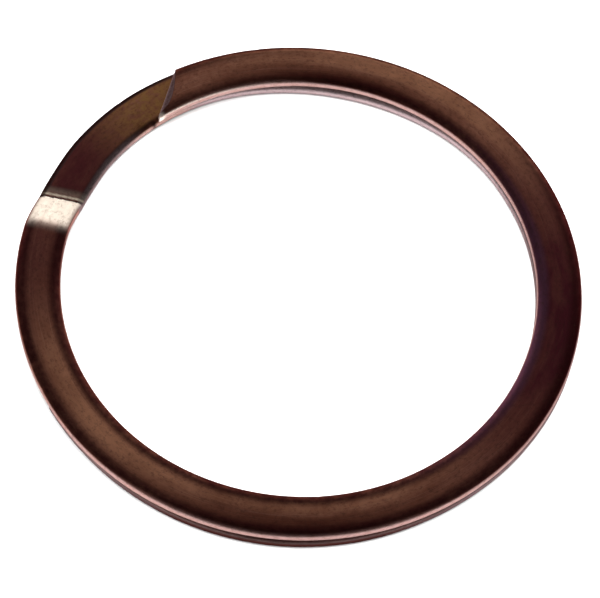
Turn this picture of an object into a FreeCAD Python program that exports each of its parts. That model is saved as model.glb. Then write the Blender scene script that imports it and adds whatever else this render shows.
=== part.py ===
import FreeCAD, Part
import os
import math
import Sketcher
import PartDesign
from FreeCAD import Vector, Placement, Rotation

# Flat-wire split key ring: one flat spring-steel wire with rounded edges,
# wound about two turns.  The two coils lie flat on one another and are joined
# by a crank, a short ramp that carries the wire from the lower level to the
# upper one.  Each coil ends in a free tip on its own side of the crank.
#
# Frame: millimetres, +Z along the ring axis, origin at the ring centre on the
# plane the ring rests on, crank centred on the -X axis.  The wire is cut into
# named regions where it flexes: a stiff root (crank and the quarter turns next
# to it) and six flexing spans that lead to each tip.

doc = FreeCAD.newDocument("split_key_ring")
os.makedirs("parts", exist_ok=True)

# ---------------------------------------------------------------- dimensions
DIMENSIONS = [
    ("outer_radius", "16.0", "outside radius of both coils"),
    ("wire_width", "2.45", "flat of the wire, across the band"),
    ("wire_thickness", "0.75", "thickness of the wire"),
    ("edge_rounding", "0.33", "radius on the four long edges of the wire"),
    ("coil_gap", "0.05", "air between the two coils at rest"),
    ("crank_slope", "19.0", "slope of the ramp in degrees"),
    ("crank_bend_radius", "0.8", "bend radius at both ends of the ramp, centre line"),
    ("free_half_angle", "180.0", "length of flexing wire behind each tip, degrees"),
    ("flex_span_angle", "30.0", "length of one flexing span, degrees"),
    ("tip_angle", "139.0", "angle of the tip, from +X, centre of the oblique cut"),
    ("tip_lead_outer", "4.5", "the outer corner of the tip stops this many degrees short"),
    ("tip_lead_inner", "5.0", "the inner corner of the tip runs this many degrees on"),
    ("tip_corner_radius", "0.4", "rounding in plan of the inner corner of the tip"),
    ("inner_radius", "=outer_radius - wire_width", "inside radius of both coils"),
    ("mean_radius", "=outer_radius - wire_width / 2", "radius of the wire centre line"),
    ("coil_step", "=wire_thickness + coil_gap", "height from one coil to the next"),
    ("total_height", "=2 * wire_thickness + coil_gap", "thickness of the whole ring"),
    ("ramp_run", "=coil_step / (2 * tan(crank_slope)) + crank_bend_radius * tan(crank_slope / 2)",
     "half the length of the crank along the centre line"),
    ("crank_half_angle", "=ramp_run / mean_radius * 180 / pi", "half the angle the crank takes up"),
    ("fixed_run_angle", "=360 - (180 + crank_half_angle) - (free_half_angle - tip_angle)",
     "stiff quarter turn between the crank and the first flexing span"),
]
sheet = doc.addObject("Spreadsheet::Sheet", "Dimensions")
for row, (alias, value, note) in enumerate(DIMENSIONS, start=1):
    sheet.set("A%d" % row, note)
    sheet.set("B%d" % row, value)
    sheet.setAlias("B%d" % row, alias)
doc.recompute()


def dim(alias):
    return float(getattr(sheet, alias))


def origin_plane(body, role):
    for feature in body.Origin.OriginFeatures:
        if feature.Role == role:
            return feature
    raise RuntimeError(role)


# ------------------------------------------------------------- wire section
def wire_section(sketch, left, right, bottom, top, rounding):
    """Rounded rectangle: four lines, four arcs, tangent all the way round."""
    x0, x1, y0, y1, r = left, right, bottom, top, rounding

    def line(a, b):
        return Part.LineSegment(Vector(a[0], a[1], 0), Vector(b[0], b[1], 0))

    def corner(cx, cy, a0, a1):
        return Part.ArcOfCircle(Part.Circle(Vector(cx, cy, 0), Vector(0, 0, 1), r),
                                math.radians(a0), math.radians(a1))

    g = sketch.addGeometry([
        line((x0 + r, y0), (x1 - r, y0)),
        corner(x1 - r, y0 + r, -90, 0),
        line((x1, y0 + r), (x1, y1 - r)),
        corner(x1 - r, y1 - r, 0, 90),
        line((x1 - r, y1), (x0 + r, y1)),
        corner(x0 + r, y1 - r, 90, 180),
        line((x0, y1 - r), (x0, y0 + r)),
        corner(x0 + r, y0 + r, 180, 270)], False)
    C = Sketcher.Constraint
    cons = []
    for i in range(8):
        cons.append(C("Tangent", g[i], 2, g[(i + 1) % 8], 1))
    cons += [C("Horizontal", g[0]), C("Vertical", g[2]), C("Horizontal", g[4]), C("Vertical", g[6])]
    cons += [C("Equal", g[1], g[3]), C("Equal", g[1], g[5]), C("Equal", g[1], g[7])]
    sketch.addConstraint(cons)
    i = sketch.addConstraint(C("Radius", g[1], r))
    sketch.setExpression("Constraints[%d]" % i, "Dimensions.edge_rounding")
    return g


def section_on_radius(body, name):
    """Wire section in the XZ plane of the body, between the two radii."""
    sk = body.newObject("Sketcher::SketchObject", name)
    sk.AttachmentSupport = [(origin_plane(body, "XZ_Plane"), "")]
    sk.MapMode = "FlatFace"
    g = wire_section(sk, dim("inner_radius"), dim("outer_radius"), 0.0,
                     dim("wire_thickness"), dim("edge_rounding"))
    C = Sketcher.Constraint
    sk.addConstraint(C("PointOnObject", g[0], 1, -1))
    i = sk.addConstraint(C("DistanceY", -1, 1, g[4], 1, dim("wire_thickness")))
    sk.setExpression("Constraints[%d]" % i, "Dimensions.wire_thickness")
    i = sk.addConstraint(C("DistanceX", -1, 1, g[6], 1, dim("inner_radius")))
    sk.setExpression("Constraints[%d]" % i, "Dimensions.inner_radius")
    i = sk.addConstraint(C("DistanceX", -1, 1, g[2], 1, dim("outer_radius")))
    sk.setExpression("Constraints[%d]" % i, "Dimensions.outer_radius")
    return sk


def station(body, name, x, y, z, turn, tilt):
    """Wire section centred on one point of the crank.  x, y, z, turn and tilt
    are expressions: where the centre is, the angle round the ring and the
    slope of the wire there."""
    sk = body.newObject("Sketcher::SketchObject", name)
    sk.AttachmentSupport = [(origin_plane(body, "XZ_Plane"), "")]
    sk.MapMode = "FlatFace"
    w, t = dim("wire_width"), dim("wire_thickness")
    g = wire_section(sk, -w / 2, w / 2, -t / 2, t / 2, dim("edge_rounding"))
    C = Sketcher.Constraint
    for kind, first, second, size, expr in (
            ("DistanceX", (g[6], 1), (-1, 1), w / 2, "Dimensions.wire_width / 2"),
            ("DistanceX", (-1, 1), (g[2], 1), w / 2, "Dimensions.wire_width / 2"),
            ("DistanceY", (g[0], 1), (-1, 1), t / 2, "Dimensions.wire_thickness / 2"),
            ("DistanceY", (-1, 1), (g[4], 1), t / 2, "Dimensions.wire_thickness / 2")):
        i = sk.addConstraint(C(kind, first[0], first[1], second[0], second[1], size))
        sk.setExpression("Constraints[%d]" % i, expr)
    sk.setExpression("AttachmentOffset",
                     "placement(vector(%s; %s; -(%s)); rotation(vector(0; 1; 0); %s) * rotation(vector(1; 0; 0); %s))"
                     % (x, z, y, turn, tilt))
    return sk


# ------------------------------------------------------------- flat regions
def arc_region(label, start, length, level, tip=None):
    """Part of a coil: the section turned about the ring axis over `length`,
    starting at the angle `start` (both expressions), on the given level.
    `tip` cuts the far (+1) or the near (-1) end obliquely."""
    body = doc.addObject("PartDesign::Body", label)
    body.Label = label
    section = section_on_radius(body, label + "_section")
    turn = body.newObject("PartDesign::Revolution", label + "_turn")
    turn.Profile = section
    turn.ReferenceAxis = (section, ["V_Axis"])
    turn.Angle = 10.0
    turn.setExpression("Angle", length)
    body.Tip = turn
    doc.recompute()
    centre = turn.Shape.CenterOfMass
    if centre.y < 0:
        turn.Reversed = not turn.Reversed
        doc.recompute()
    if tip is not None:
        tip_cut(body, label, tip)
    body.Placement = Placement(Vector(0, 0, 0), Rotation(Vector(0, 0, 1), 0))
    body.setExpression("Placement", "placement(vector(0; 0; %s); rotation(vector(0; 0; 1); %s))" % (level, start))
    doc.recompute()
    return body


def tip_cut(body, label, side):
    """Oblique shear cut of a tip, seen from above, with the long inner corner
    rounded off.  Cut right through the wire in its own frame, where the span
    starts at angle 0 (side +1) or the tip end does (side -1)."""
    ro, ri, rc = dim("outer_radius"), dim("inner_radius"), dim("tip_corner_radius")
    span, lead_o, lead_i = dim("flex_span_angle"), dim("tip_lead_outer"), dim("tip_lead_inner")
    if side > 0:
        a_out, a_in = span - lead_o, span + lead_i
    else:
        a_out, a_in = lead_i + lead_o, 0.0

    def at(radius, angle):
        return Vector(radius * math.cos(math.radians(angle)), radius * math.sin(math.radians(angle)), 0)

    p_out, p_in = at(ro, a_out), at(ri, a_in)
    along = (p_in - p_out)
    along.normalize()
    away = Vector(-along.y, along.x, 0)
    if (away.dot(at(1.0, a_in + side * 90.0))) < 0:
        away = away * -1.0
    # the rounded corner: an arc of radius rc inside the wire, tangent to the
    # cut and to the inner rim
    lo, hi = 0.0, (p_in - p_out).Length

    def gap(u):
        c = p_out + along * u - away * rc
        return c.Length - (ri + rc)

    # walk along the cut from the outer corner until the centre of the arc is
    # rc outside the inner rim
    for _ in range(60):
        mid = 0.5 * (lo + hi)
        if gap(mid) > 0:
            lo = mid
        else:
            hi = mid
    u = 0.5 * (lo + hi)
    c = p_out + along * u - away * rc
    q_cut = p_out + along * u
    q_rim = c * (ri / c.Length)
    q_mid = c + (((q_cut - c) + (q_rim - c)).normalize() * rc)
    start = p_out - along * 1.5
    inward = q_rim * ((ri - 1.5) / ri)
    far = at(ri - 1.5, a_in + side * 14.0)
    far_out = at(ro + 3.0, a_in + side * 14.0)

    sk = body.newObject("Sketcher::SketchObject", label + "_shear")
    sk.AttachmentSupport = [(origin_plane(body, "XY_Plane"), "")]
    sk.MapMode = "FlatFace"
    arc = Part.Arc(q_cut, q_mid, q_rim)
    g = sk.addGeometry([Part.LineSegment(start, q_cut), arc, Part.LineSegment(q_rim, inward),
                        Part.LineSegment(inward, far), Part.LineSegment(far, far_out),
                        Part.LineSegment(far_out, start)], False)
    C = Sketcher.Constraint
    ends = {}
    for k in (0, 2, 3, 4, 5):
        ends[k] = ((g[k], 1), (g[k], 2))
    # the arc keeps its own start and end; match them to the neighbours
    a_start = sk.getPoint(g[1], 1)
    first = 1 if (a_start - q_cut).Length < 1e-6 else 2
    ends[1] = ((g[1], first), (g[1], 3 - first))
    order = [0, 1, 2, 3, 4, 5]
    for k, nxt in zip(order, order[1:] + order[:1]):
        a, b = ends[k][1], ends[nxt][0]
        sk.addConstraint(C("Coincident", a[0], a[1], b[0], b[1]))
    i = sk.addConstraint(C("Radius", g[1], rc))
    sk.setExpression("Constraints[%d]" % i, "Dimensions.tip_corner_radius")
    before = body.Tip.Shape.Volume
    cut = body.newObject("PartDesign::Pocket", label + "_cut")
    cut.Profile = sk
    cut.Type = "ThroughAll"
    cut.Midplane = True
    body.Tip = cut
    doc.recompute()
    if not cut.Shape.Volume < before - 1e-6:
        raise RuntimeError("the tip cut removed nothing")
    return cut


# ---------------------------------------------------------------- the crank
def crank(label):
    """Ramp between the two levels: bend, straight slope, bend back, lofted
    through sections that stay square to the wire."""
    body = doc.addObject("PartDesign::Body", label)
    body.Label = label
    D = "Dimensions."
    slope = D + "crank_slope"
    r = D + "crank_bend_radius"
    rm = D + "mean_radius"
    half = D + "wire_thickness / 2"
    stations = []
    parts = 4
    for k in range(parts + 1):          # foot bend, slope 0 -> full
        f = "%s * %d / %d" % (slope, k, parts)
        run = "(-%sramp_run + %s * sin(%s))" % (D, r, f)
        rise = "(%s * (1 - cos(%s)))" % (r, f)
        stations.append((run, rise, f))
    stations.append(("0 * %s" % r, "(%scoil_step / 2)" % D, slope))
    for k in range(parts, -1, -1):      # shoulder bend, slope full -> 0
        f = "%s * %d / %d" % (slope, k, parts)
        run = "(%sramp_run - %s * sin(%s))" % (D, r, f)
        rise = "(%scoil_step - %s * (1 - cos(%s)))" % (D, r, f)
        stations.append((run, rise, f))
    sections = []
    for n, (run, rise, f) in enumerate(stations):
        turn = "(180 + (%s) / %s * 180 / pi)" % (run, rm)
        x = "%s * cos(%s)" % (rm, turn)
        y = "%s * sin(%s)" % (rm, turn)
        z = "%s + %s" % (rise, half)
        sections.append(station(body, "%s_section_%02d" % (label, n + 1), x, y, z, turn, "-(%s)" % f))
    doc.recompute()
    loft = body.newObject("PartDesign::AdditiveLoft", label + "_ramp")
    loft.Profile = sections[0]
    loft.Sections = sections[1:]
    loft.Ruled = True
    loft.Closed = False
    body.Tip = loft
    doc.recompute()
    return body


bodies = []
bodies.append(crank("crank_bend"))
bodies.append(arc_region("upper_fixed_run", "180 + Dimensions.crank_half_angle",
                         "Dimensions.fixed_run_angle", "Dimensions.coil_step"))
bodies.append(arc_region("lower_fixed_run", "180 - Dimensions.crank_half_angle - Dimensions.fixed_run_angle",
                         "Dimensions.fixed_run_angle", "0 * Dimensions.coil_step"))
SPANS = 6
for k in range(SPANS):
    # upper coil: the spans follow one another counter-clockwise to the tip
    begin = "Dimensions.tip_angle - Dimensions.free_half_angle + %d * Dimensions.flex_span_angle" % k
    if k < SPANS - 1:
        bodies.append(arc_region("upper_span_%d" % (k + 1), begin, "Dimensions.flex_span_angle",
                                 "Dimensions.coil_step"))
    else:
        bodies.append(arc_region("upper_tip", begin, "Dimensions.flex_span_angle + Dimensions.tip_lead_inner + 1",
                                 "Dimensions.coil_step", tip=1))
for k in range(SPANS):
    # lower coil: mirror image, the spans follow one another clockwise
    if k < SPANS - 1:
        begin = "Dimensions.free_half_angle - Dimensions.tip_angle - %d * Dimensions.flex_span_angle" % (k + 1)
        bodies.append(arc_region("lower_span_%d" % (k + 1), begin, "Dimensions.flex_span_angle",
                                 "0 * Dimensions.coil_step"))
    else:
        begin = "-Dimensions.tip_angle - Dimensions.tip_lead_inner"
        bodies.append(arc_region("lower_tip", begin, "Dimensions.flex_span_angle + Dimensions.tip_lead_inner",
                                 "0 * Dimensions.coil_step", tip=-1))

doc.recompute()
problems = []
for obj in doc.Objects:
    if "Invalid" in obj.State or "Error" in obj.State:
        problems.append("%s: %s" % (obj.Name, obj.State))
for body in bodies:
    shape = body.Shape
    if shape.isNull() or not shape.isValid() or len(shape.Solids) != 1:
        problems.append("%s: bad shape" % body.Label)
if problems:
    raise RuntimeError("; ".join(problems))
for body in bodies:
    body.Shape.exportStep("parts/%s.step" % body.Label)
    b = body.Shape.BoundBox
    print("%-18s volume %7.3f  x %7.3f %7.3f  y %7.3f %7.3f  z %6.3f %6.3f"
          % (body.Label, body.Shape.Volume, b.XMin, b.XMax, b.YMin, b.YMax, b.ZMin, b.ZMax))
print("crank half angle %.3f, fixed run %.3f" % (dim("crank_half_angle"), dim("fixed_run_angle")))
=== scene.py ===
import math

import bpy
import numpy as np
from mathutils import Matrix, Vector


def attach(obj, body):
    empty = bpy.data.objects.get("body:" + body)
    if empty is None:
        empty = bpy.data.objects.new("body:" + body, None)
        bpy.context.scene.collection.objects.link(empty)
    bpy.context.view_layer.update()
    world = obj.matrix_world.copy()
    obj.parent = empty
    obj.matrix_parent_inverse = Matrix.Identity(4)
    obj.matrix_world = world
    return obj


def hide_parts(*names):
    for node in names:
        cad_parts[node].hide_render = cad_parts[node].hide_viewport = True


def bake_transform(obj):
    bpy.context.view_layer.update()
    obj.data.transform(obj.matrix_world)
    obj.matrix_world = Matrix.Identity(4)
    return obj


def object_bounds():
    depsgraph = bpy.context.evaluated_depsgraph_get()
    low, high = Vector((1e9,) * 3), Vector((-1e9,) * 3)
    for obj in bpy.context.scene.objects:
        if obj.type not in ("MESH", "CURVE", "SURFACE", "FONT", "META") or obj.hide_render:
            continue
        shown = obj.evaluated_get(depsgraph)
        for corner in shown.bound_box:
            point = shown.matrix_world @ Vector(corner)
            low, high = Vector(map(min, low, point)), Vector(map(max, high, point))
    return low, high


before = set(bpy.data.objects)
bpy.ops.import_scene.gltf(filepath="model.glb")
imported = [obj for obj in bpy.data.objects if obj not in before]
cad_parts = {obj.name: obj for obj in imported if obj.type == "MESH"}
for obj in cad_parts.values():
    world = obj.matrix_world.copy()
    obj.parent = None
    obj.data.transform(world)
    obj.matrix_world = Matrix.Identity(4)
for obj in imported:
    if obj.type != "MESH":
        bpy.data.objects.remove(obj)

cad_lo, cad_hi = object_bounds()

# ----------------------------------------------------------------------------
# The wire. Lengths in millimetres here; meshes are written in metres.
# phi is the unrolled angle of the wire in degrees: the lower tip is at about
# -139, the crank at 180 and the upper tip at about 499. phi mod 360 is the
# place round the ring, counter-clockwise from +X.
# ----------------------------------------------------------------------------
MM = 0.001
RO = round((cad_hi.x - cad_lo.x) / 2 / MM, 1)
HEIGHT = (cad_hi.z - cad_lo.z) / MM
WIDTH = 2.58
GAP = 0.05
THICK = (HEIGHT - GAP) / 2
RM = RO - 1.175
Z_LOW = THICK / 2
Z_HIGH = HEIGHT - THICK / 2
STEP = Z_HIGH - Z_LOW
RIM_TURN = 36.0
RIM_RUN = 0.40
CORNER_RUN = 0.20
CROWN = 0.010
STEP_DEG = 0.3
TIP = 499.0
YAW = 12.75


def smooth(x, lo, hi):
    t = np.clip((np.asarray(x, float) - lo) / (hi - lo), 0, 1)
    return t * t * (3 - 2 * t)


def bump1(x, at, half):
    """1 at `at`, falling smoothly to 0 a distance `half` away."""
    t = np.clip(np.abs(np.asarray(x, float) - at) / half, 0, 1)
    return (1 - t * t) ** 2


def rim_profile():
    """The edge of the section from the end of the flat face to mid-height: distance out from the flat, height, turn from upright (degrees)."""
    fine = np.linspace(0, 1, 401)
    # a gentle rolled slope out to the corner, a tight corner, then a wall that bulges a little
    turn = np.concatenate([RIM_TURN * fine**0.9, RIM_TURN + (84 - RIM_TURN) * fine, 84 + 6 * fine])
    step = np.concatenate([np.full(401, RIM_RUN / 400), np.full(401, CORNER_RUN / 400), np.zeros(401)])
    out = np.concatenate([[0], np.cumsum(np.cos(np.radians(turn)) * step)[:-1]])
    drop = np.concatenate([[0], np.cumsum(np.sin(np.radians(turn)) * step)[:-1]])
    left = THICK / 2 - drop[802]
    wall = np.full(401, left / 400)
    out[802:] = out[802] + np.concatenate([[0], np.cumsum(np.cos(np.radians(turn[802:])) * wall)[:-1]])
    drop[802:] = drop[802] + np.concatenate([[0], np.cumsum(np.sin(np.radians(turn[802:])) * wall)[:-1]])
    return out, THICK / 2 - drop, turn


RIM_OUT, RIM_UP, RIM_DEG = rim_profile()
EDGE_A = float(RIM_OUT[-1])
FLAT_A = WIDTH / 2 - EDGE_A


def section():
    """The wire's cross section as a closed loop from the middle of the underside: across (outwards), up, and the turn of the surface from level, degrees."""
    # stops along the rim, closest together at the corner
    picks = np.concatenate([np.linspace(0, 400, 8)[:-1], np.linspace(401, 801, 6)[:-1], np.linspace(802, 1202, 4)]).astype(int)
    flat = 14
    ra, rb, rt = FLAT_A + RIM_OUT[picks], RIM_UP[picks], RIM_DEG[picks]
    rb[-1] = 0.0
    half = np.linspace(0, FLAT_A, flat // 2 + 1)[:-1]
    # one quarter: middle of the top face, out to mid-height of the wall
    qa, qb, qt = np.concatenate([half, ra]), np.concatenate([np.full(len(half), THICK / 2), rb]), np.concatenate([np.zeros(len(half)), rt])
    qb = qb + CROWN * (np.clip(1 - (qa / FLAT_A) ** 2, 0, 1) - 1) * (qa < FLAT_A + 0.2) * np.clip(1 - (qa - FLAT_A) / 0.2, 0, 1)
    a = np.concatenate([qa, qa[::-1][1:], -qa[1:], -qa[::-1][1:-1]])
    b = np.concatenate([-qb, qb[::-1][1:], qb[1:], -qb[::-1][1:-1]])
    t = np.concatenate([qt, qt[::-1][1:], qt[1:], qt[::-1][1:-1]])
    return a, b, t


SEC_A, SEC_B, SEC_T = section()
NS = len(SEC_A)

# where the lower coil lies in or out of line with the upper one, going round the ring
LOW_AT = np.array([-147.0, -134, -122, -112, -102, -92, -77, -62, -52, -42, -32, -10, 20, 43, 53, 63, 73, 83, 93, 103, 113, 123, 133, 145, 155, 165, 172, 180])
LOW_OUT = np.array([-0.10, -0.13, -0.15, -0.10, -0.06, -0.02, 0.02, -0.02, -0.06, -0.09, -0.08, -0.03, 0.0, 0.04, 0.12, 0.12, 0.05, -0.03, -0.04, 0.0, 0.09, 0.20, 0.24, 0.24, 0.17, 0.10, 0.03, 0.0])


def low_offset(phi):
    k = np.linspace(-12, 12, 9)
    w = np.exp(-(k / 6.0) ** 2)
    w /= w.sum()
    return sum(wi * np.interp(phi + ki, LOW_AT, LOW_OUT) for wi, ki in zip(w, k)) * (1 - smooth(phi, 160, 172))


RAMP_AT = 178.95
RAMP_SLOPE = math.radians(19.5)
FOOT_R, SHOULDER_R = 0.35, 1.35


def ramp(x):
    """Rise (0 to STEP) and slope of the crank at distance x along it, measured from the middle of the crank."""
    s, c = math.sin(RAMP_SLOPE), math.cos(RAMP_SLOPE)
    rise_foot, rise_top = FOOT_R * (1 - c), SHOULDER_R * (1 - c)
    run = (STEP - rise_foot - rise_top) / math.tan(RAMP_SLOPE)
    x0 = -(run / 2)
    x = np.asarray(x, float)
    z = np.zeros_like(x)
    d = np.zeros_like(x)
    xf = x0 - FOOT_R * s
    xs = x0 + run
    xt = xs + SHOULDER_R * s
    m = (x > xf) & (x <= x0)
    u = np.clip((x - xf) / FOOT_R, -0.99, 0.99)
    z = np.where(m, FOOT_R * (1 - np.sqrt(1 - u * u)), z)
    d = np.where(m, np.arcsin(u), d)
    m = (x > x0) & (x <= xs)
    z = np.where(m, rise_foot + (x - x0) * math.tan(RAMP_SLOPE), z)
    d = np.where(m, RAMP_SLOPE, d)
    m = (x > xs) & (x <= xt)
    u = np.clip((xt - x) / SHOULDER_R, -0.99, 0.99)
    z = np.where(m, STEP - SHOULDER_R * (1 - np.sqrt(1 - u * u)), z)
    d = np.where(m, np.arcsin(u), d)
    z = np.where(x > xt, STEP, z)
    return z, d


def hash01(i, k):
    v = math.sin(i * 127.1 + k * 311.7) * 43758.5453
    return v - math.floor(v)


def wave(phi, seed, wavelengths, amplitude):
    out = 0
    for i, w in enumerate(wavelengths):
        out = out + amplitude * (0.6**i) * np.sin(2 * math.pi * (phi / w + hash01(seed, i)))
    return out


# small dents and bruises: unrolled angle, across, up, radius along, radius round the section, depth
DENTS = [
    (217.0, 1.08, 0.30, 0.34, 0.30, 0.055),
    (223.4, 1.16, 0.16, 0.20, 0.22, 0.035),
    (262.5, 1.12, 0.26, 0.25, 0.20, 0.025),
    (291.0, -1.10, 0.25, 0.30, 0.25, 0.028),
    (336.0, 1.14, 0.20, 0.22, 0.22, 0.022),
    (388.0, 1.10, 0.28, 0.26, 0.22, 0.030),
    (430.0, -1.12, 0.26, 0.22, 0.20, 0.025),
    (476.0, 1.10, 0.30, 0.30, 0.24, 0.030),
    (147.0, 1.10, 0.28, 0.26, 0.24, 0.030),
    (160.0, -1.05, 0.32, 0.22, 0.22, 0.025),
    (-20.0, 1.14, -0.22, 0.30, 0.24, 0.028),
    (-70.0, 1.12, -0.25, 0.24, 0.22, 0.026),
    (60.0, 1.10, -0.28, 0.30, 0.25, 0.030),
    (110.0, -1.10, -0.24, 0.24, 0.22, 0.026),
]


def wire_point(phi, a, b):
    """Points of the wire's surface, mm, for arrays of unrolled angle, across and up."""
    phi, a, b = np.broadcast_arrays(np.asarray(phi, float), a, b)
    # rolled wire is never quite even: a little wider, thicker and higher here and there
    a = a * (1 + wave(phi, 3, (97, 41, 17.3), 0.0028))
    b = b * (1 + wave(phi, 5, (73, 29, 11.7), 0.0035))
    # dents press the surface in along the line to the middle of the edge
    for at, da, db, la, ls, depth in DENTS:
        arc = (phi - at) * math.pi / 180 * RM
        q = (arc / la) ** 2 + ((a - da) ** 2 + (b - db) ** 2) / ls**2
        g = depth * np.exp(-q * 1.6)
        a = a - g * np.sign(da) * 0.8
        b = b - g * np.sign(db) * 0.6
    r = RM + a + low_offset(phi)
    x = r * np.sin(np.radians(phi - RAMP_AT)) - 0.10 * a
    near = np.abs(phi - RAMP_AT) < 40
    rise, slope = ramp(np.where(near, x, np.where(phi > RAMP_AT, 9.0, -9.0)))
    z = Z_LOW + rise
    # a shallow mark across the top face just before the foot of the crank, left by the press
    b = b - 0.022 * bump1(x, -1.55, 0.42) * near * smooth(b, 0.0, 0.35)
    # long gentle waves of the coil, well inside the gap
    z = z + wave(phi, 9, (160, 83), 0.004) + 0.008
    w = np.radians(phi)
    t = np.stack([-np.sin(w), np.cos(w), np.zeros_like(w)], -1)
    p = np.stack([r * np.cos(w), r * np.sin(w), z], -1)
    up = np.stack([-t[..., 0] * np.sin(slope), -t[..., 1] * np.sin(slope), np.cos(slope)], -1)
    return p + up * b[..., None]


def wire_normal(phi, a, b):
    e = 1e-3
    # along the section: the next and the last point of the loop, by the section's own tangent
    da, db = np.roll(SEC_A, -1) - np.roll(SEC_A, 1), np.roll(SEC_B, -1) - np.roll(SEC_B, 1)
    length = np.hypot(da, db)
    da, db = da / length * e, db / length * e
    dp = wire_point(phi + e, a, b) - wire_point(phi - e, a, b)
    ds = wire_point(phi, a + da, b + db) - wire_point(phi, a - da, b - db)
    n = np.cross(dp, ds)
    return n / np.linalg.norm(n, axis=-1, keepdims=True)


# the sheared end of the upper tip: unrolled angle of the cut at each distance across
CUT_A = np.array([-1.235, -1.10, -0.98, -0.90, -0.75, -0.44, -0.06, 0.36, 0.77, 1.09, 1.235])
CUT_PHI = np.array([503.9, 503.3, 502.4, 501.1, 499.7, 498.2, 496.9, 495.8, 494.9, 494.2, 493.9])


def cut_phi(a):
    """Where the cut crosses, with a slightly ragged line."""
    k = np.linspace(-0.08, 0.08, 5)
    return sum(np.interp(a + d, CUT_A, CUT_PHI) for d in k) / 5


def station_grid(phi0, phi1, end=None):
    """Unrolled angle of every vertex: one row per station, one column per section point. end is 'upper' or 'lower' for a piece that ends in a tip."""
    a = SEC_A
    if end is None:
        n = max(2, int(round((phi1 - phi0) / STEP_DEG)))
        line = np.linspace(phi0, phi1, n + 1)
        return np.repeat(line[:, None], NS, 1)
    start, last = (phi0, phi1) if end == "upper" else (-phi1, -phi0)  # always towards the tip
    # unrolled angle counted from the crank's own side, so that one formula serves both tips
    mirror = (lambda p: p) if end == "upper" else (lambda p: 360.0 - p)
    regular_end = 485.0
    first = phi0 if end == "upper" else mirror(phi1)
    n = int(round((regular_end - first) / STEP_DEG))
    line = np.linspace(first, regular_end, n + 1)
    rows = [np.repeat(line[:, None], NS, 1)]
    cut = cut_phi(a)
    back = 0.10 / (RM * math.pi / 180)  # support line 0.1 mm before the rounded arris
    n2 = 44
    t = np.arange(1, n2 + 1) / n2
    rows.append(regular_end + t[:, None] * (cut[None, :] - back - regular_end))
    grid = np.concatenate(rows, 0)
    if end == "lower":
        grid = mirror(grid)[::-1]
    return grid


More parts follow.
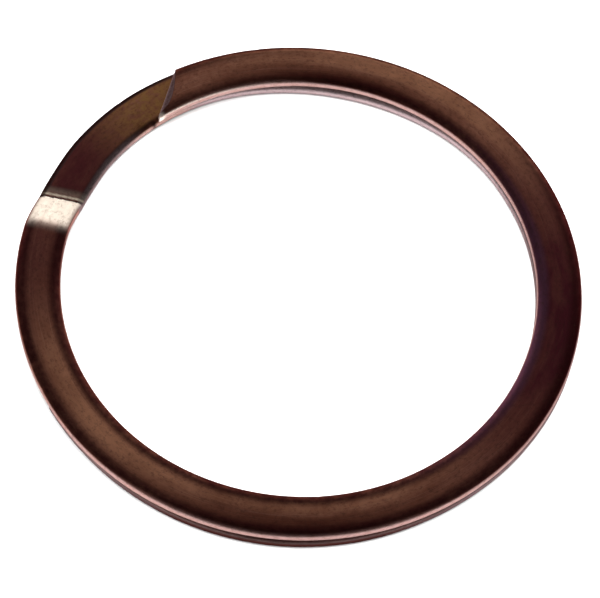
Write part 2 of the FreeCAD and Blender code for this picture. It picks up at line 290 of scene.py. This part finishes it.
def build(name, phi0, phi1, end=None):
    grid = station_grid(phi0, phi1, end)
    rows = grid.shape[0]
    a = np.repeat(SEC_A[None], rows, 0)
    b = np.repeat(SEC_B[None], rows, 0)
    pts = wire_point(grid, a, b)
    nrm = wire_normal(grid, a, b)
    verts = [pts.reshape(-1, 3)]
    coords = [np.stack([a, b, grid * math.pi / 180 * RM], -1).reshape(-1, 3)]
    normals = [nrm.reshape(-1, 3)]
    faces, kinds = [], []  # kind 0 wall, 1 inner cap, 2 sheared end
    j = np.arange(NS)
    j2 = (j + 1) % NS
    for i in range(rows - 1):
        r0, r1 = i * NS, (i + 1) * NS
        for q in zip(r0 + j, r1 + j, r1 + j2, r0 + j2):
            faces.append(q)
            kinds.append(0)
    count = rows * NS

    def cap(ring, outward_plus, kind):
        """Closes a ring with strips from the top face to the underside."""
        nonlocal count
        # its own copy of the ring, so that the wall's shading stays clear of it
        every_v, every_c = np.concatenate(verts), np.concatenate(coords)
        verts.append(every_v[ring])
        coords.append(every_c[ring])
        normals.append(np.zeros((NS, 3)))
        ring = count + j
        count += NS
        half = NS // 2
        for k in range(half):
            t0, t1 = ring[k], ring[k + 1]
            u0, u1 = ring[(-k) % NS], ring[(-k - 1) % NS]
            ids = [t0, t1, u1, u0]
            ids = [x for i_, x in enumerate(ids) if x not in ids[:i_]]
            if len(ids) < 3:
                continue
            faces.append(tuple(ids if outward_plus else ids[::-1]))
            kinds.append(kind)

    def arris(base_row, sign):
        """Rings that round the wall over into the sheared face. sign is +1 where the tip points to larger phi."""
        nonlocal count
        ring = base_row * NS + j
        radius = 0.055
        steps = 4
        base_phi = grid[base_row]
        back = 0.10
        for s in range(steps + 1):
            w = math.pi / 2 * s / steps
            inset = radius * (1 - math.cos(w))
            along = back - radius + radius * math.sin(w)
            # inset towards the middle line of the section and not its centre, so that the width shrinks evenly
            na = SEC_A - np.sign(SEC_A) * inset * np.clip(np.abs(SEC_A) - FLAT_A, 0, EDGE_A) / EDGE_A
            nb = SEC_B - np.sign(SEC_B) * inset * np.clip(np.abs(SEC_B) / (THICK / 2), 0, 1)
            ph = base_phi + sign * along / (RM * math.pi / 180)
            pp = wire_point(ph, na, nb)
            verts.append(pp)
            coords.append(np.stack([na, nb, ph * math.pi / 180 * RM], -1))
            normals.append(np.zeros((NS, 3)))
            new = count + j
            for q in zip(ring, new, np.roll(new, -1), np.roll(ring, -1)):
                faces.append(q if sign > 0 else q[::-1])
                kinds.append(0 if s < 2 else 2)
            ring = new
            count += NS
        return ring

    first_ring, last_ring = np.arange(NS), (rows - 1) * NS + j
    if end == "upper":
        cap(first_ring, False, 1)
        cap(arris(rows - 1, 1), True, 2)
    elif end == "lower":
        cap(last_ring, True, 1)
        cap(arris(0, -1), False, 2)
    else:
        cap(first_ring, False, 1)
        cap(last_ring, True, 1)

    v = np.concatenate(verts) * MM
    co = np.concatenate(coords)
    n0 = np.concatenate(normals)
    mesh = bpy.data.meshes.new(name)
    mesh.from_pydata(v.tolist(), [], [tuple(int(x) for x in f) for f in faces])
    mesh.update()
    nf = len(faces)
    kinds = np.array(kinds)
    mesh.polygons.foreach_set("use_smooth", np.ones(nf, bool))
    mesh.polygons.foreach_set("material_index", np.where(kinds == 2, 1, 0).astype(np.int32))
    # where the wire coordinate and the tangent come from
    attr = mesh.attributes.new("wire", "FLOAT_VECTOR", "POINT")
    attr.data.foreach_set("vector", co.astype(np.float32).ravel())
    phi_v = co[:, 2] / (RM * math.pi / 180)
    turned = np.tile(SEC_T, len(v) // NS)
    along = (RM + co[:, 0]) * np.sin(np.radians(phi_v - RAMP_AT)) - 0.10 * co[:, 0]
    across, place = co[:, 0], phi_v % 360

    def about(at, half):
        """1 at a place round the ring, falling to 0 half degrees away."""
        return bump1((place - at + 180) % 360 - 180, 0, half)

    far_side = np.clip(about(85, 62) * 1.2, 0, 1)
    lower = phi_v < 176
    lead = smooth(phi_v, 128, 138) * (phi_v < 176)
    # where the painted dark margin runs on round the outer corner
    over = np.clip(far_side + lead, 0, 1) * (across > 0)
    # at the front the painted pale corner and wall reach further up the outer side
    front = np.clip(1.5 * about(283, 60), 0, 1) * (across > 0)
    # near the tip the painted sheen on the upper coil's inner corner reaches further up
    tip_sheen_reach = np.clip(1.3 * about(122, 30), 0, 1) * (across < 0) * (phi_v > 300)
    # low: the lower coil's wall darker towards the floor, painted shade of the contact with it
    low = (1 - smooth(v[:, 2] / MM - 0.66 + 0.17 * front, 0, 0.20)) * smooth(turned, 8, 24) * lower * (1 - 0.6 * far_side * (across > 0))
    # beside the tip the painted shade is taken off the inner wall, which keeps its painted pale reflection; the outer
    # wall there stays dark
    low = low * (1 - lead * (across < 0) * (1 - smooth(phi_v, 146, 158)))
    for key, value in (
        # the dark margins of the flat faces, painted shade; thinner on the far outer side
        ("rim", smooth(np.abs(across), 0.42 + 0.42 * lead, 0.86 + 0.22 * lead) * (1 - smooth(turned, 38 + 22 * over - 15 * front - 16 * tip_sheen_reach, 60 + 22 * over - 15 * front - 16 * tip_sheen_reach)) * (1 - 0.4 * tip_sheen_reach) * (1 - 0.85 * far_side * (across > 0) * (1 - smooth(across, 0.90, 1.08)))),
        # the corner and the wall, painted pale: painted reflection of the white floor
        ("wall", smooth(turned, 40 + 22 * over - 17 * front - 18 * tip_sheen_reach, 68 + 18 * over - 17 * front - 18 * tip_sheen_reach) * (1 - 0.8 * about(197, 36))),
        # the painted dark inner margin on the right is more purple than the outer one
        ("plum", np.clip(1.15 * about(8, 66), 0, 1) * smooth(-across, 0.2, 0.8)),
        # the lower coil's wall darker towards the floor: painted shade, near black at the front; paler pink on the far
        # inner side: painted reflection
        ("low", low),
        ("near_painted_shade", low * np.clip(1.4 * about(283, 52) + smooth(phi_v, 112, 128) * (across > 0), 0, 1)),
        ("far_painted_reflection", low * smooth(np.cos(np.radians(place - 92)), 0.35, 0.9) * (across < 0)),
        # the ramp of the crank painted pale: partly rubbed plating, partly painted highlight
        ("ramp_wear_and_highlight", smooth(along, -1.15, -1.04) * (1 - smooth(along, 0.62, 1.70)) * (1 - smooth(turned, 16, 46)) * (np.abs(phi_v - RAMP_AT) < 40)),
        # a thin bright line and a browner strip on the flat just before the ramp: painted highlight on the crease at
        # the foot of the crank
        ("foot", (bump1(along, -1.33, 0.11) + 0.20 * bump1(along, -1.62, 0.36)) * (1 - smooth(turned, 30, 60)) * (np.abs(phi_v - RAMP_AT) < 40)),
        # the point of the tip and a line along the upper coil's inner corner are painted bright: painted highlight,
        # with a painted shadow under the point
        ("tip_glint", np.clip(smooth(phi_v, 501.6, 503.0) * smooth(-across, 0.98, 1.14) + 0.75 * smooth(phi_v, 468, 498) * (across < 0) * bump1(turned, 56, 22), 0, 1)),
        # the outer margin beside the tip is painted black: painted shade
        ("lead_edge", lead * smooth(across, 0.84, 1.06)),
        ("cut", (np.linalg.norm(n0, axis=1) < 0.5) * (np.abs(phi_v - 180) > 300)),
        # a painted shadow under the point of the tip
        ("tip_shadow", np.exp(-(((phi_v - 144.6) / 0.62) ** 2 + ((across + 1.22) / 0.16) ** 2)) * lower * (v[:, 2] / MM > 0.3)),
        # darker, slightly purple on the right, on the left and beside the crank: painted shade
        ("shade", np.clip(1.15 * about(8, 66) + 0.70 * about(190, 32) + 0.85 * about(162, 24) * lower, 0, 1)),
        # dark bands along the inner side at the back and the outer side at the front, and a dark patch beside the tip:
        # painted shade
        ("painted_dark_band", np.clip(about(97, 46) * (1 - smooth(across, -0.75, 0.05)) + 0.55 * about(125, 22) * lower, 0, 1) * 0.8 + about(287, 40) * smooth(across, -0.10, 0.35) * 0.8 + 0.85 * np.exp(-(((phi_v - 147.6) / 1.5) ** 2 + ((across + 0.80) / 0.26) ** 2)) * lower),
        # browner and brighter at the front left and the outer side of the back: painted sheen
        ("painted_sheen", (1 - smooth(turned, 26, 50)) * (0.85 * about(234, 40) * (1 - smooth(np.abs(across + 0.2), 0.15, 0.95)) + 0.9 * about(78, 60) * smooth(across, -0.3, 0.35) + 0.5 * about(290, 60) * bump1(across, -0.5, 0.6))),
    ):
        attr = mesh.attributes.new(key, "FLOAT", "POINT")
        attr.data.foreach_set("value", value.astype(np.float32))
    gold = smooth(phi_v, 128, 137) * (1 - smooth(phi_v, 142, 163))
    attr = mesh.attributes.new("gold", "FLOAT", "POINT")
    attr.data.foreach_set("value", gold.astype(np.float32))
    # UV: across the section and along the wire, for the direction of the grain
    loops = np.zeros(len(mesh.loops), np.int32)
    mesh.loops.foreach_get("vertex_index", loops)
    arc = np.concatenate([[0], np.cumsum(np.hypot(np.diff(SEC_A), np.diff(SEC_B)))])
    total = arc[-1] + math.hypot(SEC_A[0] - SEC_A[-1], SEC_B[0] - SEC_B[-1])
    u_v = np.tile(arc, len(v) // NS)
    s_v = co[:, 2]
    u_l = u_v[loops]
    starts = np.zeros(nf, np.int32)
    totals = np.zeros(nf, np.int32)
    mesh.polygons.foreach_get("loop_start", starts)
    mesh.polygons.foreach_get("loop_total", totals)
    for s, t, k in zip(starts, totals, kinds):
        if k != 1:
            part = u_l[s : s + t]
            if part.max() - part.min() > total / 2:
                part[part < total / 2] += total
                u_l[s : s + t] = part
    uv = mesh.uv_layers.new(name="wire_uv")
    uv.data.foreach_set("uv", np.stack([u_l * 0.1, s_v[loops] * 0.1], -1).astype(np.float32).ravel())
    # shading normals: the wire's own on the walls, so that neighbouring pieces meet without a line
    fn = np.zeros(nf * 3, np.float32)
    mesh.polygons.foreach_get("normal", fn)
    fn = fn.reshape(-1, 3)
    area = np.zeros(nf, np.float32)
    mesh.polygons.foreach_get("area", area)
    vn = np.zeros((len(v), 3))
    poly_of_loop = np.repeat(np.arange(nf), totals)
    keep = kinds[poly_of_loop] != 1
    np.add.at(vn, loops[keep], (fn * area[:, None])[poly_of_loop[keep]])
    vn /= np.maximum(np.linalg.norm(vn, axis=1, keepdims=True), 1e-12)
    wall = np.linalg.norm(n0, axis=1) > 0.5
    if end == "upper":
        wall[(rows - 2) * NS : rows * NS] = False
    elif end == "lower":
        wall[0 : 2 * NS] = False
    vn[wall] = n0[wall]
    ln = vn[loops]
    caps = kinds[poly_of_loop] == 1
    ln[caps] = fn[poly_of_loop[caps]]
    mesh.normals_split_custom_set(ln.tolist())
    mesh.update()
    obj = bpy.data.objects.new(name, mesh)
    bpy.context.scene.collection.objects.link(obj)
    obj.data.materials.append(WIRE)
    obj.data.materials.append(SHEAR)
    return obj


# ----------------------------------------------------------------------------
# Materials
# ----------------------------------------------------------------------------
def node(tree, kind, **values):
    n = tree.nodes.new(kind)
    for k, v in values.items():
        if hasattr(n, k):
            setattr(n, k, v)
        else:
            n.inputs[k].default_value = v
    return n


def math_node(tree, op, x, y=None, clamp=False):
    n = tree.nodes.new("ShaderNodeMath")
    n.operation = op
    n.use_clamp = clamp
    for i, v in enumerate((x, y)):
        if v is None:
            continue
        if isinstance(v, (int, float)):
            n.inputs[i].default_value = v
        else:
            tree.links.new(v, n.inputs[i])
    return n.outputs[0]


def mix_colour(tree, fac, c1, c2, blend="MIX"):
    n = tree.nodes.new("ShaderNodeMix")
    n.data_type = "RGBA"
    n.blend_type = blend
    n.clamp_factor = True
    for socket, v in ((n.inputs[0], fac), (n.inputs[6], c1), (n.inputs[7], c2)):
        if isinstance(v, (int, float)):
            socket.default_value = v
        elif isinstance(v, tuple):
            socket.default_value = (*v, 1.0)
        else:
            tree.links.new(v, socket)
    return n.outputs[2]


def scaled(tree, vector, scale, offset=(0, 0, 0)):
    n = tree.nodes.new("ShaderNodeMapping")
    n.inputs["Scale"].default_value = scale
    n.inputs["Location"].default_value = offset
    tree.links.new(vector, n.inputs["Vector"])
    return n.outputs[0]


def noise(tree, vector, scale, detail=4.0, rough=0.55, distortion=0.0):
    n = tree.nodes.new("ShaderNodeTexNoise")
    n.inputs["Scale"].default_value = scale
    n.inputs["Detail"].default_value = detail
    n.inputs["Roughness"].default_value = rough
    n.inputs["Distortion"].default_value = distortion
    tree.links.new(vector, n.inputs["Vector"])
    return n.outputs["Fac"]


def ramp_node(tree, fac, stops):
    n = tree.nodes.new("ShaderNodeValToRGB")
    e = n.color_ramp.elements
    while len(e) < len(stops):
        e.new(0.5)
    for el, (pos, val) in zip(e, stops):
        el.position = pos
        el.color = (*val, 1.0) if isinstance(val, tuple) else (val, val, val, 1.0)
    tree.links.new(fac, n.inputs[0])
    return n.outputs[0]


def wire_material(name, sheared=False):
    m = bpy.data.materials.new(name)
    m.use_nodes = True
    t = m.node_tree
    t.nodes.clear()
    out = t.nodes.new("ShaderNodeOutputMaterial")
    bsdf = t.nodes.new("ShaderNodeBsdfPrincipled")
    t.links.new(bsdf.outputs[0], out.inputs[0])
    bsdf.inputs["Metallic"].default_value = 1.0
    # plating that stays dark at a glancing angle
    bsdf.inputs["Specular Tint"].default_value = (0.42, 0.34, 0.34, 1.0)
    where = node(t, "ShaderNodeAttribute", attribute_name="wire").outputs["Vector"]
    rim = node(t, "ShaderNodeAttribute", attribute_name="rim").outputs["Fac"]
    wall = node(t, "ShaderNodeAttribute", attribute_name="wall").outputs["Fac"]
    plum = node(t, "ShaderNodeAttribute", attribute_name="plum").outputs["Fac"]
    keys = ("low", "near_painted_shade", "far_painted_reflection", "ramp_wear_and_highlight", "shade", "painted_dark_band", "painted_sheen", "gold", "foot", "tip_glint", "tip_shadow", "cut", "lead_edge")
    low, near_painted_shade, far_painted_reflection, ramp_wear_and_highlight, shade, painted_dark_band, painted_sheen, gold, foot, tip_glint, tip_shadow, cut, lead_edge = (node(t, "ShaderNodeAttribute", attribute_name=key).outputs["Fac"] for key in keys)

    streak_fine = noise(t, scaled(t, where, (14.0, 14.0, 0.16)), 1.0, 5.0, 0.62)
    streak_wide = noise(t, scaled(t, where, (3.2, 3.2, 0.07), (4.0, 1.0, 2.0)), 1.0, 3.0, 0.5)
    cloud = noise(t, scaled(t, where, (0.75, 0.75, 0.30), (1.0, 7.0, 3.0)), 1.0, 5.0, 0.6, 0.4)
    mottle = noise(t, scaled(t, where, (2.6, 2.6, 2.0), (9.0, 2.0, 5.0)), 1.0, 6.0, 0.65)
    grit = noise(t, scaled(t, where, (7.0, 7.0, 4.5), (3.0, 3.0, 8.0)), 1.0, 4.0, 0.7)

    dark = (0.230, 0.085, 0.052)
    mid = (0.400, 0.170, 0.108)
    pale = (0.480, 0.310, 0.290)
    body = mix_colour(t, ramp_node(t, cloud, [(0.34, 0.0), (0.68, 1.0)]), dark, mid)
    body = mix_colour(t, ramp_node(t, mottle, [(0.40, 0.0), (0.72, 0.45)]), body, (0.150, 0.050, 0.034))
    body = mix_colour(t, ramp_node(t, streak_fine, [(0.54, 0.0), (0.76, 0.42)]), body, (0.560, 0.290, 0.210))
    body = mix_colour(t, ramp_node(t, streak_wide, [(0.30, 0.45), (0.52, 0.0)]), body, (0.130, 0.045, 0.030))
    # browner and brighter in some places: painted sheen where the faces catch the light; darker and a little purple in
    # others: painted shade
    patchy = ramp_node(t, cloud, [(0.30, 0.62), (0.60, 1.0)])
    body = mix_colour(t, math_node(t, "MULTIPLY", painted_sheen, math_node(t, "MULTIPLY", patchy, 0.62)), body, (0.700, 0.330, 0.185))
    body = mix_colour(t, math_node(t, "MULTIPLY", shade, patchy), body, (0.085, 0.016, 0.022))
    # painted shade: the dark bands
    body = mix_colour(t, math_node(t, "MULTIPLY", painted_dark_band, patchy), body, (0.070, 0.012, 0.008))
    # golden tint beside the tip, in patches
    body = mix_colour(t, math_node(t, "MULTIPLY", gold, ramp_node(t, mottle, [(0.34, 0.10), (0.58, 0.85)])), body, (0.37, 0.18, 0.066))
    # both margins painted darker: painted shade of the dark room they mirror, more purple on the inner side on the
    # right
    body = mix_colour(t, math_node(t, "MULTIPLY", rim, ramp_node(t, mottle, [(0.30, 0.70), (0.60, 0.92)])), body, mix_colour(t, plum, (0.040, 0.008, 0.009), (0.095, 0.036, 0.062)))
    # the corner and the wall are painted paler, unevenly: painted reflection of the white floor. The lower coil's wall
    # is painted darker towards the floor, near black at the front: painted shade; on the far inner side it is painted a
    # paler pink: painted reflection
    wall_sheen_mask = math_node(t, "MULTIPLY", wall, ramp_node(t, mottle, [(0.28, 0.62), (0.60, 1.0)]))
    body = mix_colour(t, math_node(t, "MULTIPLY", wall_sheen_mask, 0.92), body, pale)
    body = mix_colour(t, low, body, (0.190, 0.135, 0.135))
    body = mix_colour(t, near_painted_shade, body, (0.050, 0.018, 0.016))
    body = mix_colour(t, far_painted_reflection, body, (0.430, 0.320, 0.330))
    # the ramp of the crank is painted nearly bare and pale: partly rubbed plating, partly a painted highlight of the
    # bright sweep behind it
    body = mix_colour(t, math_node(t, "MULTIPLY", ramp_wear_and_highlight, ramp_node(t, streak_wide, [(0.30, 0.82), (0.60, 1.0)])), body, (0.62, 0.545, 0.46))
    # painted highlight: the bright line and strip before the ramp
    body = mix_colour(t, math_node(t, "MULTIPLY", foot, ramp_node(t, mottle, [(0.30, 0.70), (0.55, 1.0)])), body, (0.95, 0.80, 0.62))
    # painted shade: the outer margin beside the tip black
    body = mix_colour(t, math_node(t, "MULTIPLY", lead_edge, 0.92), body, (0.012, 0.006, 0.006))
    body = mix_colour(t, math_node(t, "MULTIPLY", cut, 0.85), body, (0.085, 0.050, 0.052))
    # painted highlight on the point of the tip and its inner corner
    body = mix_colour(t, tip_glint, body, (0.95, 0.80, 0.70))
    # painted shadow under the point of the tip
    body = mix_colour(t, tip_shadow, body, (0.020, 0.008, 0.006))
    # fine dark specks in the plating
    body = mix_colour(t, ramp_node(t, grit, [(0.50, 0.0), (0.70, 0.46)]), body, (0.050, 0.020, 0.016))
    if sheared:
        body = mix_colour(t, ramp_node(t, noise(t, scaled(t, where, (9.0, 0.8, 6.0)), 1.0, 4.0, 0.6), [(0.35, 0.25), (0.65, 0.85)]), body, (0.20, 0.125, 0.125))
    t.links.new(body, bsdf.inputs["Base Color"])

    rough = math_node(t, "ADD", ramp_node(t, mottle, [(0.3, 0.34), (0.7, 0.43)]), math_node(t, "MULTIPLY", ramp_node(t, streak_fine, [(0.3, 0.0), (0.7, 1.0)]), 0.07))
    rough = math_node(t, "SUBTRACT", rough, math_node(t, "MULTIPLY", wall_sheen_mask, 0.05), clamp=True)
    if sheared:
        rough = math_node(t, "ADD", rough, 0.14, clamp=True)
    t.links.new(rough, bsdf.inputs["Roughness"])
    bsdf.inputs["Anisotropic"].default_value = 0.30 if sheared else 0.90
    tangent = node(t, "ShaderNodeTangent", direction_type="UV_MAP", uv_map="wire_uv")
    t.links.new(tangent.outputs[0], bsdf.inputs["Tangent"])

    height = math_node(t, "ADD", math_node(t, "MULTIPLY", streak_fine, 0.6), math_node(t, "MULTIPLY", streak_wide, 0.9))
    height = math_node(t, "ADD", height, math_node(t, "MULTIPLY", mottle, 0.35))
    height = math_node(t, "ADD", height, math_node(t, "MULTIPLY", grit, 0.16))
    bump = t.nodes.new("ShaderNodeBump")
    bump.inputs["Strength"].default_value = 1.0
    bump.inputs["Distance"].default_value = 0.000006 if not sheared else 0.000030
    t.links.new(height, bump.inputs["Height"])
    t.links.new(bump.outputs[0], bsdf.inputs["Normal"])
    return m


WIRE = wire_material("antique_bronze_wire")
SHEAR = wire_material("sheared_end", sheared=True)

# ----------------------------------------------------------------------------
# Pieces: the stiff part of the ring, on its body, and six lengths per coil in place of the hidden CAD parts
# ----------------------------------------------------------------------------
root = build("ring_root_wire", 56.0, 304.0)
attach(root, "ring_root")
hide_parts("crank_bend", "upper_fixed_run", "lower_fixed_run")


def mid_point(phi):
    return tuple(float(x) for x in wire_point(np.array(phi), np.array(0.0), np.array(0.0)) * MM)


for coil in ("upper", "lower"):
    nodes = [f"{coil}_fixed_run"] + [f"{coil}_span_{i}" for i in range(1, 6)] + [f"{coil}_tip"]
    for i in range(6):
        p0, p1 = 304.0 + 30 * i, 334.0 + 30 * i
        last = i == 5
        if coil == "upper":
            piece = build(f"{coil}_wire_{i + 1}", p0, p1, "upper" if last else None)
            s, e = mid_point(p0), mid_point(p1 if not last else 484.0)
        else:
            piece = build(f"{coil}_wire_{i + 1}", 360 - p1, 360 - p0, "lower" if last else None)
            s, e = mid_point(360 - p0), mid_point(360 - p1 if not last else -124.0)
        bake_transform(piece)
        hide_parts(*([nodes[i + 1]] if i == 0 else [nodes[i], nodes[i + 1]]))

# ----------------------------------------------------------------------------
# Stage: pale floor, soft light
# ----------------------------------------------------------------------------
scene = bpy.context.scene
scene.view_settings.view_transform = "Standard"
scene.view_settings.look = "None"


def floor():
    n, size = 48, 1.6
    rings = [0.0] + [size * (k / n) ** 1.5 for k in range(1, n + 1)]
    verts, faces = [(0, 0, cad_lo.z)], []
    seg = 64
    for r in rings[1:]:
        for k in range(seg):
            w = 2 * math.pi * k / seg
            verts.append((r * math.cos(w), r * math.sin(w), cad_lo.z))
    for k in range(seg):
        faces.append((0, 1 + k, 1 + (k + 1) % seg))
    for i in range(n - 1):
        for k in range(seg):
            p, q = 1 + i * seg, 1 + (i + 1) * seg
            faces.append((p + k, q + k, q + (k + 1) % seg, p + (k + 1) % seg))
    mesh = bpy.data.meshes.new("studio_floor")
    mesh.from_pydata(verts, [], faces)
    obj = bpy.data.objects.new("studio_floor", mesh)
    scene.collection.objects.link(obj)
    m = bpy.data.materials.new("studio_floor")
    m.use_nodes = True
    b = m.node_tree.nodes["Principled BSDF"]
    b.inputs["Base Color"].default_value = (0.86, 0.86, 0.86, 1)
    b.inputs["Roughness"].default_value = 1.0
    b.inputs["Specular IOR Level"].default_value = 0.0
    mesh.materials.append(m)
    return obj


floor()

world = bpy.data.worlds.new("studio")
scene.world = world
world.use_nodes = True
wt = world.node_tree
wt.nodes.clear()
wout = wt.nodes.new("ShaderNodeOutputWorld")
bg = wt.nodes.new("ShaderNodeBackground")
wt.links.new(bg.outputs[0], wout.inputs[0])
tc = wt.nodes.new("ShaderNodeTexCoord")
sep = wt.nodes.new("ShaderNodeSeparateXYZ")
wt.links.new(tc.outputs["Generated"], sep.inputs[0])


def wmath(op, x, y=None, clamp=False):
    return math_node(wt, op, x, y, clamp)


def towards(azimuth):
    """Cosine of the horizontal angle between a direction and an azimuth of the room, degrees from the camera's right."""
    w = math.radians(azimuth + YAW)
    n = wt.nodes.new("ShaderNodeVectorMath")
    n.operation = "DOT_PRODUCT"
    wt.links.new(tc.outputs["Generated"], n.inputs[0])
    n.inputs[1].default_value = (math.cos(w), math.sin(w), 0)
    return wmath("DIVIDE", n.outputs["Value"], level)


def soft_step(x, lo, hi):
    n = wt.nodes.new("ShaderNodeMapRange")
    n.interpolation_type = "SMOOTHSTEP"
    n.inputs["From Min"].default_value = lo
    n.inputs["From Max"].default_value = hi
    wt.links.new(x, n.inputs["Value"])
    return n.outputs["Result"]


def by_height(stops):
    """Brightness against the sine of the elevation."""
    n = wt.nodes.new("ShaderNodeValToRGB")
    n.color_ramp.interpolation = "EASE"
    e = n.color_ramp.elements
    while len(e) < len(stops):
        e.new(0.5)
    for el, (p, v) in zip(e, stops):
        el.position = p
        el.color = (v / 4, v / 4, v / 4, 1)
    wt.links.new(sep.outputs["Z"], n.inputs[0])
    return wmath("MULTIPLY", n.outputs[0], 4.0)


level = wmath("SQRT", wmath("MAXIMUM", wmath("SUBTRACT", 1.0, wmath("MULTIPLY", sep.outputs["Z"], sep.outputs["Z"])), 0.0004))
# a dim room, a white sweep low behind the object, soft strips low at the front corners
room = by_height([(0.0, 0.10), (0.30, 0.05), (0.75, 0.07), (1.0, 0.10)])
sweep = wmath("MULTIPLY", soft_step(towards(90), 0.40, 0.84), by_height([(0.0, 2.6), (0.40, 2.3), (0.62, 0.36), (0.86, 0.16), (1.0, 0.0)]))
strips = wmath("ADD", soft_step(towards(-45), 0.80, 0.97), wmath("MULTIPLY", soft_step(towards(-135), 0.80, 0.97), 1.2))
strips = wmath("MULTIPLY", strips, by_height([(0.0, 1.3), (0.16, 1.0), (0.34, 0.0)]))
side = wmath("MULTIPLY", soft_step(towards(180), 0.3, 0.9), by_height([(0.0, 0.25), (0.6, 0.12), (0.95, 0.0)]))
light = wmath("ADD", wmath("ADD", room, sweep), wmath("ADD", strips, side))
wt.links.new(light, bg.inputs["Color"])
bg.inputs["Strength"].default_value = 1.0

# a broad overhead lamp that lights the floor evenly and is not mirrored in the metal
lamp = bpy.data.lights.new("fill", "AREA")
lamp.shape = "DISK"
lamp.size = 0.7
lamp.energy = 11.0
fill = bpy.data.objects.new("fill", lamp)
fill.location = (0, 0, 0.55)
fill.visible_glossy = False
scene.collection.objects.link(fill)

# ----------------------------------------------------------------------------
# Camera
# ----------------------------------------------------------------------------
ELEV, ROLL, DIST = math.radians(60.0), math.radians(4.603), 193.4
TARGET = Vector((0.108, -0.069, HEIGHT - 1.95))
back = Vector((0, -math.cos(ELEV), math.sin(ELEV)))
right = Vector((1, 0, 0))
up = right.cross(-back)
r2 = math.cos(ROLL) * right + math.sin(ROLL) * up
u2 = -math.sin(ROLL) * right + math.cos(ROLL) * up
turn = Matrix.Rotation(math.radians(YAW), 3, "Z")
eye = turn @ (TARGET + back * DIST) * MM
cam_data = bpy.data.cameras.new("camera")
cam_data.sensor_width = 36.0
cam_data.lens = 3379.2 / 600 * 36.0
cam_data.clip_start, cam_data.clip_end = 0.01, 10.0
cam = bpy.data.objects.new("camera", cam_data)
cam.matrix_world = Matrix.Translation(eye) @ Matrix((turn @ r2, turn @ u2, turn @ back)).transposed().to_4x4()
scene.collection.objects.link(cam)
scene.camera = cam
